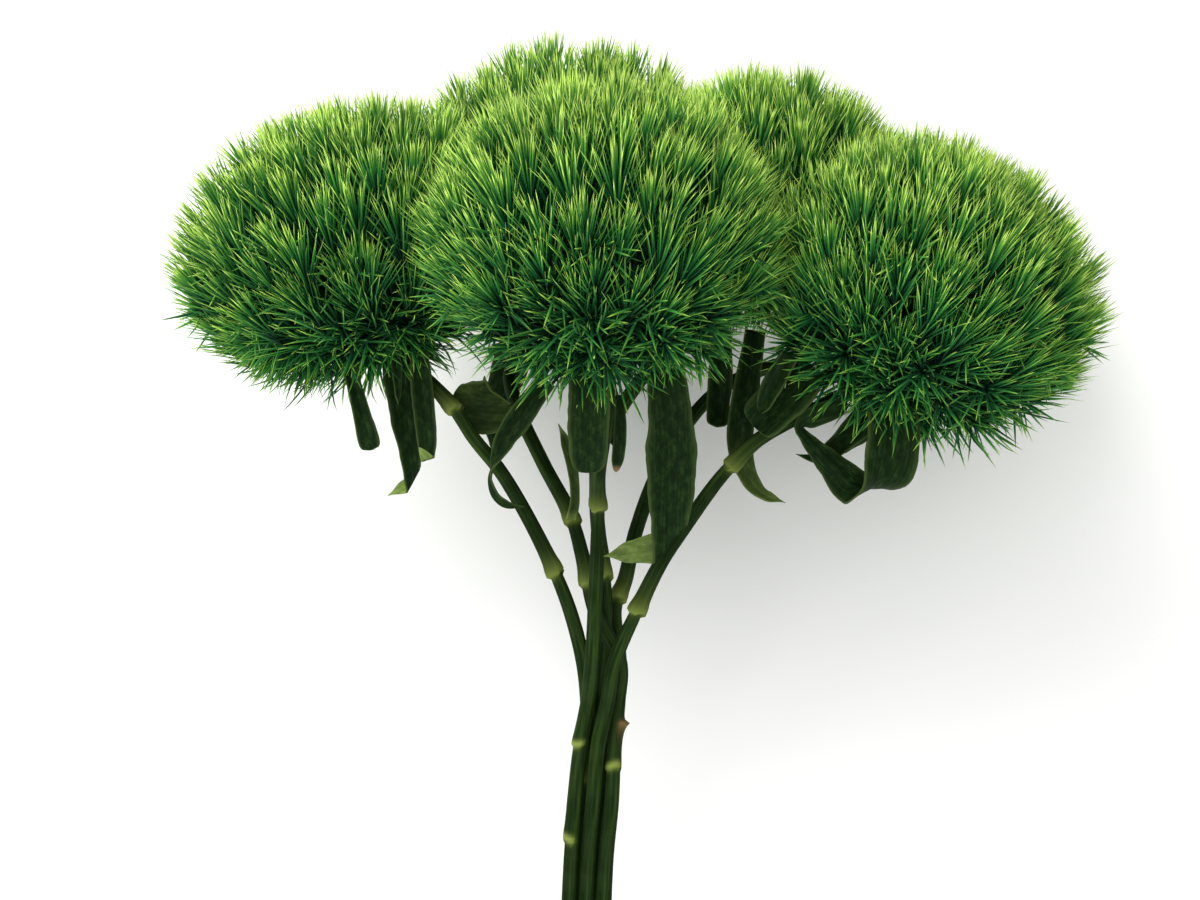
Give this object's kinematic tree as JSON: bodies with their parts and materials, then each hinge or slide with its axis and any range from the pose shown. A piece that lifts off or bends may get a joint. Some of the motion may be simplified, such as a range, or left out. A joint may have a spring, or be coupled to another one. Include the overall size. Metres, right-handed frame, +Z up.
{
  "type": "carnation bouquet",
  "caption": "Tied bouquet of round, bristly green carnation heads on slim jointed stems with strap leaves hanging below the heads, lying on its side.",
  "frame": {"origin": "centre of the bouquet's bounding box, on the surface that it lies on", "axes": "+Y along the bouquet from the cut ends to the heads, +X to its right as seen from above with the heads away from the viewer, +Z up from the surface"},
  "size_m": [0.251, 0.3484, 0.1906],
  "materials": {
    "bristles": "dense fine bristles, dark green at the base and yellow-green at the tips",
    "stem": "smooth living stem with a faint bloom and paler joints",
    "leaf": "smooth fleshy leaf, satin, paler at folded tips",
    "twine": "twisted plant-fibre twine, matt"
  },
  "bodies": {
    "root": {"head_front": "bristles", "head_left": "bristles", "head_right": "bristles", "head_back": "bristles", "head_back_right": "bristles", "head_far_right": "bristles", "stem_front": "stem", "stem_left": "stem", "stem_right": "stem", "stem_back": "stem", "stem_back_right": "stem", "stem_far_right": "stem", "leaf_left_outer": "leaf", "leaf_left_long": "leaf", "leaf_left_short": "leaf", "leaf_left_inner": "leaf", "leaf_left_curl": "leaf", "leaf_neck_twist": "leaf", "leaf_neck_thin": "leaf", "leaf_front_left": "leaf", "leaf_front_right": "leaf", "leaf_front_long": "leaf", "leaf_middle": "leaf", "leaf_right_hanging": "leaf", "leaf_right_broad": "leaf", "leaf_right_inner": "leaf", "leaf_right_loop": "leaf", "leaf_right_lower": "leaf", "leaf_back_left": "leaf", "leaf_back_middle": "leaf", "leaf_far_right": "leaf", "leaf_far_right_inner": "leaf", "twine_tie": "twine"}
  },
  "joints": []
}
